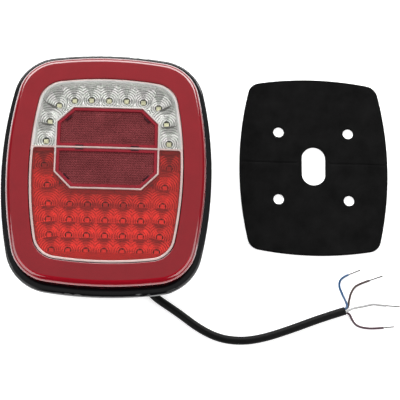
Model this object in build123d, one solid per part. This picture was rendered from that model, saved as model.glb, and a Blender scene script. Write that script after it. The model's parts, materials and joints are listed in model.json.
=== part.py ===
"""Trailer tail light: a rounded combination lamp with its cable and a loose mounting gasket.

The lamp lies on its back, its light going up. X is to the lamp's right, Y is towards its upper
end and Z is the light's direction. The origin is the middle of the four-stud pattern, level with
the ends of the stud pads, which meet the panel that the lamp is mounted on. All sizes are in
millimetres.
"""

from build123d import *
import math
import os

# Overall lamp
LAMP_WIDTH = 200.0
LAMP_HEIGHT = 240.0
SIDE_RADIUS = 380.0
END_RADIUS = 380.0
CORNER_RADIUS = 45.0

# Mounting studs on the back face, M6 on a 70 mm square
STUD_PITCH = 70.0
STUD_RADIUS = 3.0
STUD_LENGTH = 22.0
HEAD_ACROSS_FLATS = 10.0
HEAD_HEIGHT = 4.0
STUD_SHOULDER_RADIUS = 3.5
STUD_CHAMFER = 0.8
PAD_RADIUS = 4.8
TABLE_Z = -STUD_LENGTH

# Housing: a tapered tray with a flange and a rim around it. Its back is set in by the pads' height.
WALL = 3.0
BACK_Z = 2.0
FLOOR_Z = BACK_Z + WALL
BACK_WIDTH = 154.0
BACK_HEIGHT = 189.0
TRAY_WIDTH = 178.0
TRAY_HEIGHT = 215.0
FLANGE_Z = 22.0
RIM_TOP_Z = 29.0
RIM_ROUND = 2.2
RIM_CHAMFER = 1.5
GROOVE_WIDTH = 4.0
GROOVE_PLAY = 0.4
GROOVE_WALL_TOP_Z = 32.0

# Lens: a crowned front with a rounded edge and a skirt that stands in the housing's groove
LENS_WIDTH = 188.0
LENS_HEIGHT = 225.0
LENS_SIDE_RADIUS = 374.0
LENS_END_RADIUS = 372.0
LENS_CORNER_RADIUS = 39.0
LENS_WALL = 3.0
LENS_BOTTOM_Z = 26.0
LENS_EDGE_ROUND = 5.0
CROWN_RADIUS = 1500.0
RING_TOP_Z = 48.0
WINDOW_TOP_Z = 47.0
FRAME_TOP_Z = 47.5
FRAME_DEPTH = 4.5

# Window inside the ring, its middle a little below the lamp's, and the pale frame line around it
WINDOW_WIDTH = 144.4
WINDOW_HEIGHT = 180.4
WINDOW_Y = -1.1
WINDOW_SIDE_RADIUS = 360.0
WINDOW_END_RADIUS = 330.0
WINDOW_CORNER_RADIUS = 24.0
FRAME_LINE = 2.2

# Eight-sided field of the two reflex reflectors, on the middle of its frame line
REFLEX_HALF_WIDTH = 48.4
REFLEX_TOP_Y = 60.2
REFLEX_BOTTOM_Y = -20.5
REFLEX_CUT = 15.5
DIVIDER_Y = 19.5
REFLEX_THICKNESS = 4.0
CARRIER_TOP_Z = 39.5
CARRIER_HEIGHT = 3.0
CARRIER_LEG_RADIUS = 3.0
CARRIER_LEGS = [(30.0, 48.0), (-30.0, 48.0), (30.0, -8.0), (-30.0, -8.0)]

# Circuit board and lights
BOARD_WIDTH = 168.0
BOARD_HEIGHT = 205.0
BOARD_Z = 27.6
BOARD_THICKNESS = 1.6
BOARD_TOP_Z = BOARD_Z + BOARD_THICKNESS
LED_SIZE = 5.0
LED_HEIGHT = 1.6
RING_LED_SIZE = 3.5
RING_LED_COUNT = 40
RING_LED_PATH = (152.0, 188.4, 356.0, 334.0, 25.0)
RING_LED_TO_SCREW = 7.0
GUIDE_THICKNESS = 3.0
GUIDE_PLAY = 0.6
GUIDE_TO_WINDOW = 2.6
BOWL_PLAY = 0.3
BOWL_TOP_Z = 38.6
BOWL_MOUTH = 3.8
ARCH_BOWL_RADIUS = 8.1
FIELD_BOWL_RADIUS = 7.3

# Places of the white lights in the clear arch, one side; the middle one is at x = 0
ARCH_TOP_LIGHT = (0.0, 71.9)
ARCH_SIDE_LIGHTS = [(16.8, 71.9), (33.0, 71.0), (47.7, 65.5), (55.7, 49.1), (58.5, 29.5)]
# Red lights beside the reflectors, one side, and the rows below them
FIELD_SIDE_LIGHTS = [(59.1, 5.3), (55.5, -14.2)]
FIELD_ROWS = [(-32.4, 53.7), (-47.5, 53.0), (-62.5, 51.5), (-77.2, 49.0)]
FIELD_COLUMNS = [0.0, 16.8, 33.5]

# Board screws, one quarter
SCREW_PLACES = [(79.6, 32.0), (41.0, 96.6)]
SCREW_RADIUS = 1.4
SCREW_LENGTH = 8.0
SCREW_HEAD_RADIUS = 2.7
SCREW_HEAD_HEIGHT = 1.8
SCREW_RECESS = (3.0, 0.7, 1.0)
POST_RADIUS = 3.6

# Components on the board's back: places, then width, length and height
DRIVER_PLACES = [(40.0, 60.0), (48.0, -20.0), (48.0, -62.0)]
DRIVER_SIZE = (6.0, 5.0, 1.7)
RESISTOR_COLUMNS = [36.0, 40.0, 44.0, 48.0]
RESISTOR_ROWS = [52.0, -28.0, -70.0]
RESISTOR_SIZE = (1.6, 3.2, 0.6)
DIODE_PLACES = [(-12.0, 58.0), (0.0, 58.0), (12.0, 58.0)]
DIODE_SIZE = (2.6, 4.3, 2.3)
CAPACITOR_PLACES = [(-26.0, -30.0), (26.0, -30.0), (0.0, -60.0)]
CAPACITOR_RADIUS = 4.0
CAPACITOR_HEIGHT = 10.0
TERMINAL_PLACE = (-14.0, 47.0)
TERMINAL_SIZE = (14.0, 10.0, 8.0)

# Breather vent in the lower sloping wall
VENT_RADIUS = 3.0
VENT_DEPTH = 5.0
VENT_CAP_RADIUS = 5.4
VENT_CAP_HEIGHT = 2.2
VENT_SEAT_RADIUS = 5.6
VENT_SEAT_DEPTH = 0.4

# Cable pocket in the middle of the back, and the cable's way out of it
POCKET_WIDTH = 22.0
POCKET_LENGTH = 38.0
POCKET_TOP_Z = 17.0
POCKET_WALL = 2.5
CABLE_RADIUS = 4.0
CABLE_DIP = math.radians(33.0)
CABLE_HEADING = math.radians(-68.5)
CABLE_OUT = Vector(
    math.cos(CABLE_DIP) * math.cos(CABLE_HEADING),
    math.cos(CABLE_DIP) * math.sin(CABLE_HEADING),
    -math.sin(CABLE_DIP),
)
CABLE_SEAT = Vector(-2.0, 9.0, 7.0)
BOSS_RADIUS = 8.0
BOSS_LENGTH = 22.0
GROMMET_HOLE = 5.2
FLANGE_RADIUS = 6.6
FLANGE_LENGTH = 2.0
BOOT_LENGTH = 20.0
BOOT_TIP_RADIUS = 4.9
INNER_CABLE = 30.0
TIE_SETBACK = 3.0
TIE_THICKNESS = 1.1
TIE_WIDTH = 2.6
TIE_LOCK = (4.0, 4.2)
LEAD_RADIUS = 0.9
LEAD_SPREAD = 1.5
LEAD_PITCH = 3.3
CORNER_SHARE = 0.45

# The cable's route from the boot's tip: down to the table, out from under the rim, along it
CABLE_EXIT = CABLE_SEAT + CABLE_OUT * (FLANGE_LENGTH + BOOT_LENGTH)
CABLE_Z = TABLE_Z + CABLE_RADIUS
CABLE_ROUTE = [
    (CABLE_EXIT.X, CABLE_EXIT.Y, CABLE_EXIT.Z),
    (8.6, -17.9, -11.8),
    (16.1, -36.5, CABLE_Z),
    (27.0, -64.0, CABLE_Z),
    (32.2, -84.0, CABLE_Z),
    (43.0, -105.5, CABLE_Z),
    (71.0, -123.4, CABLE_Z),
    (92.0, -139.0, CABLE_Z),
    (112.0, -148.2, CABLE_Z),
    (134.0, -150.2, CABLE_Z),
    (156.0, -146.0, CABLE_Z),
    (184.0, -136.0, CABLE_Z),
    (209.0, -126.0, CABLE_Z),
    (232.5, -118.2, CABLE_Z),
]

# The four cores that fan out of the cable's end, each with a bare tinned tip
CORE_RADIUS = 1.1
TIP_RADIUS = 0.6
CORE_Z = TABLE_Z + CORE_RADIUS
CORE_SPREAD = 1.55
CORE_ROUTES = {
    "blue": [
        (1, 1),
        [
            (235.0, -115.2, -16.9),
            (233.8, -108.9, -18.4),
            (230.4, -100.8, CORE_Z),
            (227.2, -91.8, CORE_Z),
            (230.2, -84.6, CORE_Z),
            (237.0, -81.7, CORE_Z),
        ],
        (248.9, -76.4),
    ],
    "brown": [
        (-1, 1),
        [
            (236.2, -114.8, -20.0),
            (237.0, -108.4, CORE_Z),
            (238.9, -100.2, CORE_Z),
            (242.9, -93.4, CORE_Z),
            (250.2, -89.6, CORE_Z),
            (257.6, -86.9, CORE_Z),
        ],
        (270.8, -82.2),
    ],
    "white": [
        (1, -1),
        [
            (239.0, -116.0, -17.6),
            (246.6, -113.9, -20.0),
            (254.6, -111.9, CORE_Z),
            (261.2, -110.2, CORE_Z),
            (267.2, -111.2, CORE_Z),
            (272.9, -111.5, CORE_Z),
        ],
        (286.8, -112.3),
    ],
    "violet": [
        (-1, -1),
        [
            (236.8, -119.4, -20.2),
            (239.6, -126.2, CORE_Z),
            (243.8, -131.8, CORE_Z),
            (251.0, -134.0, CORE_Z),
            (260.8, -134.4, CORE_Z),
            (270.2, -133.3, CORE_Z),
        ],
        (280.7, -131.5),
    ],
}

# Foam gasket, lying on the table beside the lamp
GASKET_WIDTH = 148.5
GASKET_HEIGHT = 183.5
GASKET_SIDE_RADIUS = 345.0
GASKET_END_RADIUS = 310.0
GASKET_CORNER_RADIUS = 13.0
GASKET_THICKNESS = 3.0
GASKET_CENTRE = (204.0, 28.2)
GASKET_HOLE_RADIUS = 5.25
GASKET_SLOT_WIDTH = 23.6
GASKET_SLOT_LENGTH = 39.6


# ---------------------------------------------------------------- shared shapes


def outline(width, height, side_radius, end_radius, corner_radius):
    """Rectangle with bulging sides and ends and rounded corners."""
    side = side_radius - width / 2
    end = end_radius - height / 2
    face = Pos(side, 0) * Circle(side_radius)
    face &= Pos(-side, 0) * Circle(side_radius)
    face &= Pos(0, end) * Circle(end_radius)
    face &= Pos(0, -end) * Circle(end_radius)
    return fillet(face.vertices(), corner_radius)


def lamp_outline(width, height):
    """The lamp's outline drawn inwards to a smaller width and height."""
    inset = (LAMP_WIDTH - width) / 2
    return outline(width, height, SIDE_RADIUS - inset, END_RADIUS - inset, CORNER_RADIUS - inset)


def lens_outline(inset):
    """The lens's outline, drawn inwards by inset."""
    return outline(
        LENS_WIDTH - 2 * inset,
        LENS_HEIGHT - 2 * inset,
        LENS_SIDE_RADIUS - inset,
        LENS_END_RADIUS - inset,
        LENS_CORNER_RADIUS - inset,
    )


def window_outline(inset):
    """The outline of the window inside the ring, drawn inwards by inset."""
    face = outline(
        WINDOW_WIDTH - 2 * inset,
        WINDOW_HEIGHT - 2 * inset,
        WINDOW_SIDE_RADIUS - inset,
        WINDOW_END_RADIUS - inset,
        WINDOW_CORNER_RADIUS - inset,
    )
    return Pos(0, WINDOW_Y) * face


def reflex_outline(inset):
    """The eight-sided reflector field, drawn inwards by inset (outwards when negative)."""
    half_width = REFLEX_HALF_WIDTH - inset
    top = REFLEX_TOP_Y - inset
    bottom = REFLEX_BOTTOM_Y + inset
    cut = REFLEX_CUT - inset * (2 - math.sqrt(2))
    right = [
        (half_width - cut, top),
        (half_width, top - cut),
        (half_width, bottom + cut),
        (half_width - cut, bottom),
    ]
    left = [(-x, y) for x, y in reversed(right)]
    return make_face(Polyline(*right, *left, close=True))


def slab(face, low, high):
    """The face made into a plate between two heights."""
    return extrude(Pos(0, 0, low) * face, high - low)


def dome(top):
    """Very large ball, whose top is the lens's slight crown."""
    return Pos(0, 0, top - CROWN_RADIUS) * Rot(0, 90, 0) * Sphere(CROWN_RADIUS)


def crowned(face, top, thickness):
    """A plate of the given outline that follows the lens's crown."""
    plate = slab(face, LENS_BOTTOM_Z, top + 5)
    plate &= dome(top)
    return plate - dome(top - thickness)


def band(low, high):
    """A wide rectangle between two heights in Y, to divide faces with."""
    return Pos(0, (low + high) / 2) * Rectangle(2 * LAMP_WIDTH, high - low)


def along_cable(distance):
    """Plane square to the cable where it leaves the lamp, at a distance from its seat."""
    return Plane(origin=CABLE_SEAT + CABLE_OUT * distance, z_dir=CABLE_OUT)


def rod_on(plane, radius, length):
    """Round bar that starts on the plane and runs along its normal."""
    return plane * Cylinder(radius, length, align=(Align.CENTER, Align.CENTER, Align.MIN))


def both_sides(places):
    """Each place and its mirror image in X."""
    return [(sign * x, y) for x, y in places for sign in (1, -1)]


def four_corners(places):
    """Each place in all four quarters."""
    return [(x, sign * y) for x, y in both_sides(places) for sign in (1, -1)]


# ---------------------------------------------------------------- housing and what is on its back


def stud_places():
    """The four studs of the mounting pattern."""
    return four_corners([(STUD_PITCH / 2, STUD_PITCH / 2)])


def vent_plane():
    """Plane on the lower sloping wall where the vent sits, its normal pointing out."""
    rise = FLANGE_Z - BACK_Z
    run = (TRAY_HEIGHT - BACK_HEIGHT) / 2
    middle = Vector(0, -(BACK_HEIGHT + TRAY_HEIGHT) / 4, (FLANGE_Z + BACK_Z) / 2)
    return Plane(origin=middle, z_dir=Vector(0, -rise, -run))


def housing():
    """Black tray with flange, rim, lens groove, board posts, stud bosses and cable pocket."""
    outside = loft(
        [
            Pos(0, 0, BACK_Z) * lamp_outline(BACK_WIDTH, BACK_HEIGHT),
            Pos(0, 0, FLANGE_Z) * lamp_outline(TRAY_WIDTH, TRAY_HEIGHT),
        ]
    )
    inner_back = lamp_outline(BACK_WIDTH - 2 * WALL, BACK_HEIGHT - 2 * WALL)
    inner_front = lamp_outline(TRAY_WIDTH - 2 * WALL, TRAY_HEIGHT - 2 * WALL)
    inside = loft([Pos(0, 0, FLOOR_Z) * inner_back, Pos(0, 0, FLANGE_Z + WALL) * inner_front])
    upper_inside = slab(inner_front, FLANGE_Z + WALL, GROOVE_WALL_TOP_Z)

    rim = slab(lamp_outline(LAMP_WIDTH, LAMP_HEIGHT), FLANGE_Z, RIM_TOP_Z)
    rim = fillet(rim.edges().filter_by(lambda edge: edge.center().Z > FLANGE_Z + 1), RIM_ROUND)
    rim = chamfer(rim.edges().filter_by(lambda edge: edge.center().Z < FLANGE_Z + 0.1), RIM_CHAMFER)
    groove_outer = lens_outline(-GROOVE_PLAY)
    groove_inner = lens_outline(GROOVE_WIDTH - GROOVE_PLAY)
    rim -= slab(groove_outer, FLANGE_Z + WALL, RIM_TOP_Z + 1)
    groove_wall = slab(groove_inner, FLANGE_Z, GROOVE_WALL_TOP_Z)
    body = outside + rim + groove_wall - inside - upper_inside

    posts = Part()
    for x, y in four_corners(SCREW_PLACES):
        posts += slab(Pos(x, y) * Circle(POST_RADIUS), FLOOR_Z, BOARD_Z)
    room = outside + slab(inner_front, FLANGE_Z - 1, BOARD_Z)
    body += posts & room
    for x, y in four_corners(SCREW_PLACES):
        body -= slab(Pos(x, y) * Circle(SCREW_RADIUS), BOARD_Z - SCREW_LENGTH - 2, BOARD_Z)

    for x, y in stud_places():
        body += slab(Pos(x, y) * Circle(BOSS_RADIUS), FLOOR_Z, FLOOR_Z + HEAD_HEIGHT)
        body += slab(Pos(x, y) * Circle(PAD_RADIUS), 0, BACK_Z)
        body -= slab(Pos(x, y) * Circle(STUD_SHOULDER_RADIUS), 0, FLOOR_Z)
        body -= slab(Pos(x, y) * stud_head(), FLOOR_Z, FLOOR_Z + HEAD_HEIGHT)

    tower = SlotOverall(POCKET_LENGTH + 2 * POCKET_WALL, POCKET_WIDTH + 2 * POCKET_WALL, rotation=90)
    body += slab(tower, BACK_Z, POCKET_TOP_Z + POCKET_WALL)
    sleeve = rod_on(along_cable(-BOSS_LENGTH), BOSS_RADIUS, BOSS_LENGTH)
    body += sleeve & slab(Rectangle(BACK_WIDTH / 2, BACK_HEIGHT / 2), FLOOR_Z, BOARD_Z)
    pocket = slab(SlotOverall(POCKET_LENGTH, POCKET_WIDTH, rotation=90), 0, POCKET_TOP_Z)
    body -= pocket & rod_on(along_cable(0), LAMP_WIDTH, LAMP_WIDTH)
    body -= rod_on(along_cable(-BOSS_LENGTH - 2), GROMMET_HOLE, BOSS_LENGTH + BOOT_LENGTH / 2)

    body -= rod_on(vent_plane().offset(-2 * WALL), VENT_RADIUS, 2 * WALL)
    body -= rod_on(vent_plane().offset(-VENT_SEAT_DEPTH), VENT_SEAT_RADIUS, WALL)
    return body


def stud_head():
    """Six-sided head, moulded into the housing."""
    return RegularPolygon(HEAD_ACROSS_FLATS / 2, 6, major_radius=False)


def mounting_studs():
    """Four M6 studs, each with a chamfered tip, a thicker shoulder in the wall and a head."""
    studs = []
    for x, y in stud_places():
        shank = slab(Pos(x, y) * Circle(STUD_RADIUS), TABLE_Z, 0)
        shank = chamfer(shank.edges().group_by(Axis.Z)[0], STUD_CHAMFER)
        shoulder = slab(Pos(x, y) * Circle(STUD_SHOULDER_RADIUS), 0, FLOOR_Z)
        head = slab(Pos(x, y) * stud_head(), FLOOR_Z, FLOOR_Z + HEAD_HEIGHT)
        studs.append((shank + shoulder + head).solid())
    return Compound(children=studs)


def breather_vent():
    """Membrane vent plug in the lower sloping wall."""
    stem = rod_on(vent_plane().offset(-VENT_DEPTH), VENT_RADIUS, VENT_DEPTH)
    cap = rod_on(vent_plane().offset(-VENT_SEAT_DEPTH), VENT_CAP_RADIUS, VENT_CAP_HEIGHT)
    return stem + cap


def lens_seal():
    """Bead of sealant under the lens's skirt."""
    low = FLANGE_Z + WALL
    return slab(lens_outline(0) - lens_outline(LENS_WALL), low, LENS_BOTTOM_Z)


# ---------------------------------------------------------------- lens and reflectors


def ring_lens():
    """Red outer ring of the lens with its rounded edge and skirt."""
    body = slab(lens_outline(0), LENS_BOTTOM_Z, RING_TOP_Z + 5) & dome(RING_TOP_Z)
    top_edges = body.edges().filter_by(lambda edge: edge.center().Z > RIM_TOP_Z + LENS_EDGE_ROUND)
    side_edges = body.edges().filter_by(Axis.Z)
    body = fillet([edge for edge in top_edges if edge not in side_edges], LENS_EDGE_ROUND)
    hollow = slab(lens_outline(LENS_WALL), LENS_BOTTOM_Z, RING_TOP_Z + 5)
    hollow &= dome(RING_TOP_Z - LENS_WALL)
    return body - hollow - slab(window_outline(0), LENS_BOTTOM_Z, RING_TOP_Z + 5)


def frame_lines():
    """Flat drawing of the pale lines: around the window, around the reflectors and across."""
    half = FRAME_LINE / 2
    around = window_outline(0) - window_outline(FRAME_LINE)
    reflex = reflex_outline(-half) - reflex_outline(half)
    across = window_outline(0) & band(DIVIDER_Y - half, DIVIDER_Y + half)
    return around + reflex + across


def trim_frame():
    """Clear frame that holds the coloured panels, slightly proud of them."""
    return crowned(frame_lines(), FRAME_TOP_Z, FRAME_DEPTH)


def arch_face(inset):
    """Clear part of the window, over and beside the upper reflector."""
    half = FRAME_LINE / 2 + inset
    face = window_outline(FRAME_LINE + inset) & band(DIVIDER_Y + half, LAMP_HEIGHT)
    return face - reflex_outline(-half)


def field_face(inset):
    """Red part of the window, below and beside the lower reflector."""
    half = FRAME_LINE / 2 + inset
    face = window_outline(FRAME_LINE + inset) & band(-LAMP_HEIGHT, DIVIDER_Y - half)
    return face - reflex_outline(-half)


def arch_lens():
    """Clear panel over the white lights."""
    return crowned(arch_face(0), WINDOW_TOP_Z, LENS_WALL)


def field_lens():
    """Red panel over the red lights."""
    return crowned(field_face(0), WINDOW_TOP_Z, LENS_WALL)


def reflex_reflector(low, high):
    """One half of the eight-sided reflector field."""
    face = reflex_outline(FRAME_LINE / 2) & band(low, high)
    return crowned(face, WINDOW_TOP_Z, REFLEX_THICKNESS)


def reflex_carrier():
    """Tray behind the two reflectors, which closes their prisms off."""
    face = reflex_outline(FRAME_LINE)
    tray = slab(face, CARRIER_TOP_Z - CARRIER_HEIGHT, CARRIER_TOP_Z)
    legs = Part()
    for x, y in CARRIER_LEGS:
        leg = Pos(x, y) * Circle(CARRIER_LEG_RADIUS)
        legs += slab(leg, BOARD_TOP_Z, CARRIER_TOP_Z - CARRIER_HEIGHT)
    return tray + legs


# ---------------------------------------------------------------- board and lights


def arch_lights():
    """Places of the white lights."""
    return [ARCH_TOP_LIGHT] + both_sides(ARCH_SIDE_LIGHTS)


def field_lights():
    """Places of the red lights."""
    places = both_sides(FIELD_SIDE_LIGHTS)
    for y, outer_x in FIELD_ROWS:
        places.append((FIELD_COLUMNS[0], y))
        places += both_sides([(x, y) for x in FIELD_COLUMNS[1:] + [outer_x]])
    return places


def bowls(face, places, top_radius):
    """Metallised block with a round bowl at each light."""
    block = slab(face, BOARD_TOP_Z, BOWL_TOP_Z)
    height = BOWL_TOP_Z - BOARD_TOP_Z
    cone = Cone(BOWL_MOUTH, top_radius, height, align=(Align.CENTER, Align.CENTER, Align.MIN))
    for x, y in places:
        block -= Pos(x, y, BOARD_TOP_Z) * cone
    return block


def light_chips(places, size):
    """One chip for each light, on the board."""
    chips = [Pos(x, y, BOARD_TOP_Z + LED_HEIGHT / 2) * Box(size, size, LED_HEIGHT) for x, y in places]
    return Compound(children=[chip.solid() for chip in chips])


def ring_light_places():
    """Places along the ring, apart from those that a board screw takes."""
    path = outline(*RING_LED_PATH).wires()[0]
    places = []
    for step in range(RING_LED_COUNT):
        point = path @ ((step + 0.5) / RING_LED_COUNT)
        gaps = [math.dist((point.X, point.Y), place) for place in four_corners(SCREW_PLACES)]
        if min(gaps) > RING_LED_TO_SCREW:
            places.append((point.X, point.Y))
    return places


def ring_light_guide():
    """Diffuser that spreads the ring's lights under the red ring."""
    face = lens_outline(LENS_WALL + GUIDE_PLAY) - window_outline(-GUIDE_TO_WINDOW)
    return slab(face, GROOVE_WALL_TOP_Z, GROOVE_WALL_TOP_Z + GUIDE_THICKNESS)


def circuit_board():
    """Board that carries every light, screwed to the housing's posts."""
    board = slab(lamp_outline(BOARD_WIDTH, BOARD_HEIGHT), BOARD_Z, BOARD_TOP_Z)
    for x, y in four_corners(SCREW_PLACES):
        board -= slab(Pos(x, y) * Circle(SCREW_RADIUS), BOARD_Z, BOARD_TOP_Z)
    return board


def board_screws():
    """Pan-head screws that hold the board down."""
    screws = []
    length, width, depth = SCREW_RECESS
    cross = Rectangle(length, width) + Rectangle(width, length)
    head_top = BOARD_TOP_Z + SCREW_HEAD_HEIGHT
    for x, y in four_corners(SCREW_PLACES):
        shank = slab(Pos(x, y) * Circle(SCREW_RADIUS), BOARD_Z - SCREW_LENGTH, BOARD_TOP_Z)
        head = slab(Pos(x, y) * Circle(SCREW_HEAD_RADIUS), BOARD_TOP_Z, head_top)
        recess = slab(Pos(x, y) * cross, head_top - depth, head_top)
        screws.append((shank + head - recess).solid())
    return Compound(children=screws)


def under_board(places, size):
    """Box-shaped components on the board's back."""
    width, length, height = size
    boxes = [Pos(x, y, BOARD_Z - height / 2) * Box(width, length, height) for x, y in places]
    return Compound(children=[box.solid() for box in boxes])


def driver_chips():
    """Current regulators, two for the arch and four for the red field."""
    return under_board(both_sides(DRIVER_PLACES), DRIVER_SIZE)


def resistors():
    """Rows of chip resistors beside the regulators."""
    places = [(x, y) for y in RESISTOR_ROWS for x in RESISTOR_COLUMNS]
    return under_board(both_sides(places), RESISTOR_SIZE)


def diodes():
    """Reverse-polarity diodes, one for each function."""
    return under_board(DIODE_PLACES, DIODE_SIZE)


def capacitors():
    """Round electrolytic capacitors that stand off the board's back."""
    can = slab(Circle(CAPACITOR_RADIUS), BOARD_Z - CAPACITOR_HEIGHT, BOARD_Z)
    return Compound(children=[(Pos(x, y) * can).solid() for x, y in CAPACITOR_PLACES])


# ---------------------------------------------------------------- cable


def cable_grommet():
    """Rubber grommet with a tapering boot, in the pocket's sloping face."""
    hole = rod_on(along_cable(-BOSS_LENGTH), GROMMET_HOLE, BOSS_LENGTH)
    collar = rod_on(along_cable(0), FLANGE_RADIUS, FLANGE_LENGTH)
    from_base = (Align.CENTER, Align.CENTER, Align.MIN)
    boot = Cone(FLANGE_RADIUS - 0.8, BOOT_TIP_RADIUS, BOOT_LENGTH, align=from_base)
    body = hole + collar + along_cable(FLANGE_LENGTH) * boot
    return body - rod_on(along_cable(-BOSS_LENGTH - 1), CABLE_RADIUS, BOSS_LENGTH + 2 * BOOT_LENGTH)


def inner_cable_end():
    """Stretch of the cable inside the grommet and the housing."""
    length = INNER_CABLE + FLANGE_LENGTH + BOOT_LENGTH
    return rod_on(along_cable(-INNER_CABLE), CABLE_RADIUS, length)


def cable_tie():
    """Nylon tie that keeps the cable from being pulled out."""
    plane = along_cable(-INNER_CABLE + TIE_SETBACK)
    outer = CABLE_RADIUS + TIE_THICKNESS
    lock = plane * Pos(-outer, 0, TIE_WIDTH / 2) * Box(*TIE_LOCK, TIE_WIDTH)
    tie = rod_on(plane, outer, TIE_WIDTH) + lock
    return tie - rod_on(plane.offset(-1), CABLE_RADIUS, TIE_WIDTH + 2)


def wire_terminal():
    """Terminal block on the board's back, where the cores end."""
    return Pos(*TERMINAL_PLACE, BOARD_Z - TERMINAL_SIZE[2] / 2) * Box(*TERMINAL_SIZE)


def inner_leads():
    """Four short cores from the cable to the terminal block."""
    start_plane = along_cable(-INNER_CABLE)
    x, y = TERMINAL_PLACE
    width, depth, height = TERMINAL_SIZE
    leads = []
    for number, (side, rise) in enumerate([(-1, -1), (-1, 1), (1, -1), (1, 1)]):
        start = start_plane.from_local_coords(Vector(side * LEAD_SPREAD, rise * LEAD_SPREAD, 0))
        entry_x = x + (number - 1.5) * LEAD_PITCH
        end = Vector(entry_x, y - depth / 2 + 0.5, BOARD_Z - height / 2)
        way = end - start
        leads.append(rod_on(Plane(origin=start, z_dir=way), LEAD_RADIUS, way.length).solid())
    return Compound(children=leads)


def corner_radii(points):
    """The largest radius that each corner of a route has room for."""
    radii = []
    for before, corner, after in zip(points, points[1:], points[2:]):
        into = Vector(*corner) - Vector(*before)
        out = Vector(*after) - Vector(*corner)
        half_turn = math.radians(into.get_angle(out) / 2)
        radii.append(CORNER_SHARE * min(into.length, out.length) / math.tan(half_turn))
    return radii


def tube(name, points, radius):
    """Round cord along a route of straight runs and tangent arcs."""
    radii = corner_radii(points)
    path = FilletPolyline(*points, radius=radii)
    section = Plane(origin=path @ 0, z_dir=path % 0) * Circle(radius)
    body = sweep(section, path=path).solid()
    expected = math.pi * radius**2 * path.length
    print(name, "length", round(path.length, 1), "volume/expected", round(body.volume / expected, 4))
    print("  radii", [round(value, 1) for value in radii], "runs", run_lengths(points))
    return body


def run_lengths(points):
    """Length of each run of a route."""
    return [round(math.dist(one, two), 1) for one, two in zip(points, points[1:])]


def cable_end_plane():
    """Plane of the jacket's cut end."""
    along = Vector(*CABLE_ROUTE[-1]) - Vector(*CABLE_ROUTE[-2])
    return Plane(origin=Vector(*CABLE_ROUTE[-1]), x_dir=Vector(0, 0, 1), z_dir=along)


def core_start(position):
    """Where a core leaves the jacket's end, given its row and side in the bundle."""
    up, side = position
    return cable_end_plane().from_local_coords(Vector(up * CORE_SPREAD, -side * CORE_SPREAD, 0))


def core(colour):
    """One insulated core, from the jacket's end to where it is stripped."""
    position, places, _ = CORE_ROUTES[colour]
    start = core_start(position)
    points = [(start.X, start.Y, start.Z)] + places
    return tube(colour + " core", points, CORE_RADIUS)


def core_tip(colour):
    """The bare, tinned end of a core."""
    _, places, (end_x, end_y) = CORE_ROUTES[colour]
    start = Vector(*places[-1])
    way = start - Vector(*places[-2])
    reach = math.dist(places[-1][:2], (end_x, end_y))
    return rod_on(Plane(origin=start, z_dir=way), TIP_RADIUS, reach)


# ---------------------------------------------------------------- gasket


def mounting_gasket():
    """Foam gasket with a hole for each stud pad and a slot for the cable."""
    face = outline(
        GASKET_WIDTH,
        GASKET_HEIGHT,
        GASKET_SIDE_RADIUS,
        GASKET_END_RADIUS,
        GASKET_CORNER_RADIUS,
    )
    for x, y in stud_places():
        face -= Pos(x, y) * Circle(GASKET_HOLE_RADIUS)
    face -= SlotOverall(GASKET_SLOT_LENGTH, GASKET_SLOT_WIDTH, rotation=90)
    return slab(Pos(*GASKET_CENTRE) * face, TABLE_Z, TABLE_Z + GASKET_THICKNESS)


# ---------------------------------------------------------------- write one file for each piece


def all_parts():
    """Every node's name and shape."""
    parts = {
        "housing": housing(),
        "mounting_studs": mounting_studs(),
        "breather_vent": breather_vent(),
        "lens_seal": lens_seal(),
        "ring_lens": ring_lens(),
        "trim_frame": trim_frame(),
        "arch_lens": arch_lens(),
        "field_lens": field_lens(),
        "upper_reflex_reflector": reflex_reflector(DIVIDER_Y + FRAME_LINE / 2, LAMP_HEIGHT),
        "lower_reflex_reflector": reflex_reflector(-LAMP_HEIGHT, DIVIDER_Y - FRAME_LINE / 2),
        "reflex_carrier": reflex_carrier(),
        "arch_bowls": bowls(arch_face(BOWL_PLAY), arch_lights(), ARCH_BOWL_RADIUS),
        "field_bowls": bowls(field_face(BOWL_PLAY), field_lights(), FIELD_BOWL_RADIUS),
        "ring_light_guide": ring_light_guide(),
        "circuit_board": circuit_board(),
        "board_screws": board_screws(),
        "white_leds": light_chips(arch_lights(), LED_SIZE),
        "red_leds": light_chips(field_lights(), LED_SIZE),
        "ring_leds": light_chips(ring_light_places(), RING_LED_SIZE),
        "driver_chips": driver_chips(),
        "resistors": resistors(),
        "diodes": diodes(),
        "capacitors": capacitors(),
        "wire_terminal": wire_terminal(),
        "inner_leads": inner_leads(),
        "inner_cable_end": inner_cable_end(),
        "cable_tie": cable_tie(),
        "cable_grommet": cable_grommet(),
        "cable_jacket": tube("cable", CABLE_ROUTE, CABLE_RADIUS),
        "mounting_gasket": mounting_gasket(),
    }
    for colour in CORE_ROUTES:
        parts[colour + "_core"] = core(colour)
        parts[colour + "_core_tip"] = core_tip(colour)
    return parts


os.makedirs("parts", exist_ok=True)
for node, shape in all_parts().items():
    export_step(shape, f"parts/{node}.step")
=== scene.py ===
"""Looks of the trailer tail light, in metres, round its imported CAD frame.

The lamp lies on its back with its light going up (+Z). Its cable and the loose foam gasket lie
on the table beside it. Sizes below are in millimetres and become metres where meshes are made.
"""

import json
import math

import bmesh
import bpy
import numpy as np
from mathutils import Matrix, Vector
from mathutils.geometry import delaunay_2d_cdt


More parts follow.
